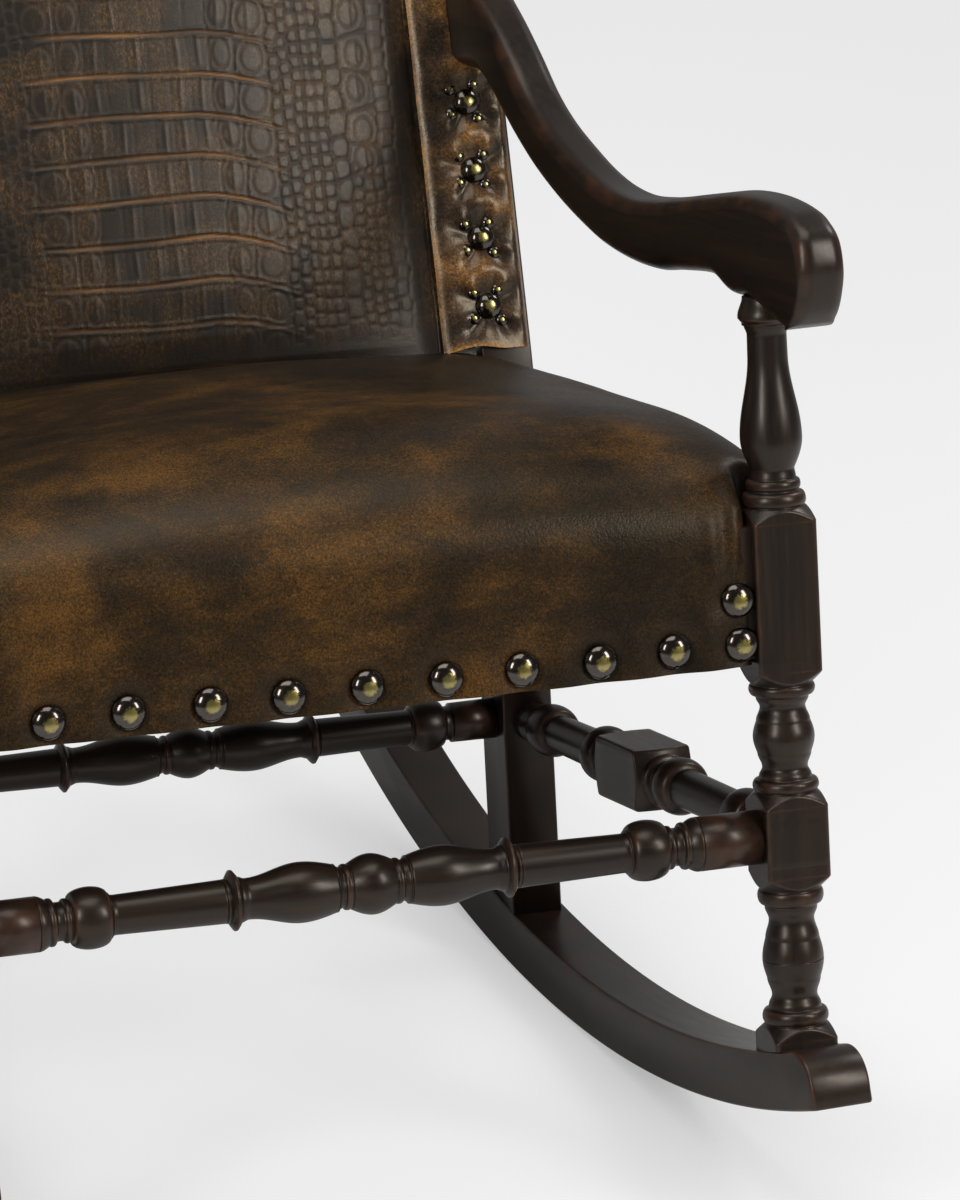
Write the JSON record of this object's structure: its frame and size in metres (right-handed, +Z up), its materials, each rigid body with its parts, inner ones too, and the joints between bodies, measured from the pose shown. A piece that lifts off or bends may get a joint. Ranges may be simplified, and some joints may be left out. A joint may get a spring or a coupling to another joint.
{
  "type": "rocking chair",
  "caption": "Upholstered rocking chair with turned posts and stretchers, sweeping arms, crowned leather seat, embossed leather back and curved wooden rockers.",
  "frame": {"origin": "on the floor, midway between the two points where the rockers touch it when the chair stands still", "axes": "+X to the right of someone facing the chair, +Y to its back, +Z up"},
  "size_m": [0.6486, 0.8777, 1.0599],
  "materials": {
    "wood": "dark espresso stain, satin",
    "seat_leather": "smooth dark brown hide, mottled amber, soft sheen",
    "embossed_leather": "brown hide embossed with reptile scales, rust in the creases",
    "band_leather": "worn tan-brown hide",
    "nails": "antique bronze",
    "steel": "plain zinc",
    "stuffing": "undyed webbing and padding",
    "lining": "black dust cloth"
  },
  "bodies": {
    "root": {"back_cover": "embossed_leather", "back_foam": "stuffing", "back_webbing": "stuffing", "crest_rail": "wood", "dust_cover": "lining", "front_seat_rail": "wood", "front_stretcher": "wood", "left_arm": "wood", "left_arm_bolt": "steel", "left_back_band": "band_leather", "left_back_band_nails": "nails", "left_corner_block_screws": "steel", "left_corner_blocks": "wood", "left_foot_dowel": "wood", "left_front_foot": "wood", "left_front_post": "wood", "left_rear_post": "wood", "left_rocker": "wood", "left_rocker_dowels": "wood", "left_seat_side_nails": "nails", "left_side_seat_rail": "wood", "left_side_stretcher": "wood", "lower_back_rail": "wood", "outside_back": "band_leather", "rear_seat_rail": "wood", "rear_stretcher": "wood", "right_arm": "wood", "right_arm_bolt": "steel", "right_back_band": "band_leather", "right_back_band_nails": "nails", "right_corner_block_screws": "steel", "right_corner_blocks": "wood", "right_foot_dowel": "wood", "right_front_foot": "wood", "right_front_post": "wood", "right_rear_post": "wood", "right_rocker": "wood", "right_rocker_dowels": "wood", "right_seat_side_nails": "nails", "right_side_seat_rail": "wood", "right_side_stretcher": "wood", "seat_cover": "seat_leather", "seat_foam": "stuffing", "seat_front_nails": "nails", "seat_webbing": "stuffing"}
  },
  "joints": []
}
